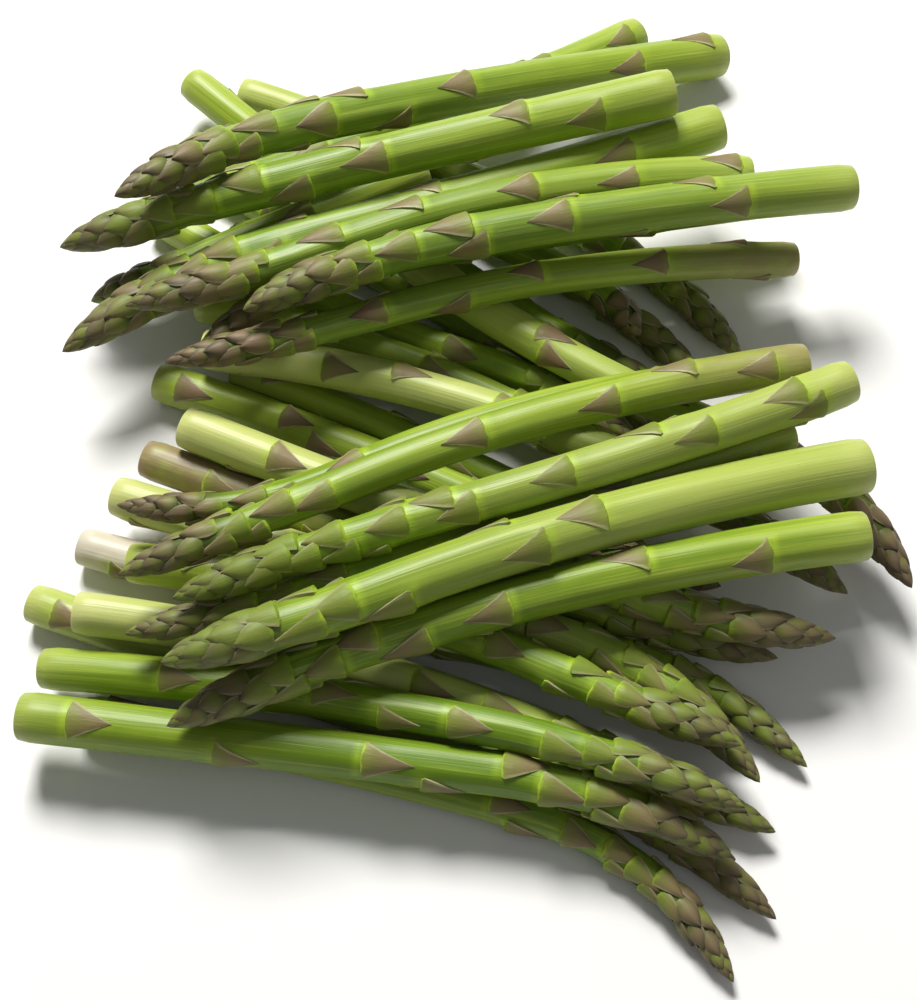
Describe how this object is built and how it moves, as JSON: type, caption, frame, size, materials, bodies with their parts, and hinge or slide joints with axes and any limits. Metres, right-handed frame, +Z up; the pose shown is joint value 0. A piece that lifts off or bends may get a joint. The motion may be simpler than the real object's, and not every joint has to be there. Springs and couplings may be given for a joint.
{
  "type": "bundle of asparagus",
  "caption": "Loose criss-cross heap of whole green asparagus spears with scaly purple-green tips, lying down, used as food styling or kitchen and market dressing.",
  "frame": {"origin": "on the surface that the heap lies on, under the middle of the heap", "axes": "+Z up from the surface; +Y towards the back layer of spears; +X to the right, the side where the cut ends of the upper spears lie"},
  "size_m": [0.2658, 0.3412, 0.0617],
  "materials": {
    "asparagus_skin": "satin"
  },
  "bodies": {
    "root": {"front_low_spear_1": "asparagus_skin", "front_low_spear_2": "asparagus_skin", "front_low_spear_3": "asparagus_skin", "front_low_spear_4": "asparagus_skin", "front_low_spear_5": "asparagus_skin", "back_low_spear_1": "asparagus_skin", "back_low_spear_2": "asparagus_skin", "back_low_spear_3": "asparagus_skin", "back_low_spear_4": "asparagus_skin", "back_low_spear_5": "asparagus_skin", "back_low_spear_6": "asparagus_skin", "back_low_spear_7": "asparagus_skin", "back_low_spear_8": "asparagus_skin", "middle_spear_1": "asparagus_skin", "middle_spear_2": "asparagus_skin", "middle_spear_3": "asparagus_skin", "middle_spear_4": "asparagus_skin", "middle_spear_5": "asparagus_skin", "middle_spear_6": "asparagus_skin", "middle_spear_7": "asparagus_skin", "middle_spear_8": "asparagus_skin", "middle_spear_9": "asparagus_skin", "front_top_spear_1": "asparagus_skin", "front_top_spear_2": "asparagus_skin", "front_top_spear_3": "asparagus_skin", "front_top_spear_4": "asparagus_skin", "front_top_spear_5": "asparagus_skin", "front_top_spear_6": "asparagus_skin", "back_top_spear_1": "asparagus_skin", "back_top_spear_2": "asparagus_skin", "back_top_spear_3": "asparagus_skin", "back_top_spear_4": "asparagus_skin", "back_top_spear_5": "asparagus_skin", "back_top_spear_6": "asparagus_skin", "back_top_spear_7": "asparagus_skin", "back_top_spear_8": "asparagus_skin", "back_top_spear_9": "asparagus_skin"}
  },
  "joints": []
}
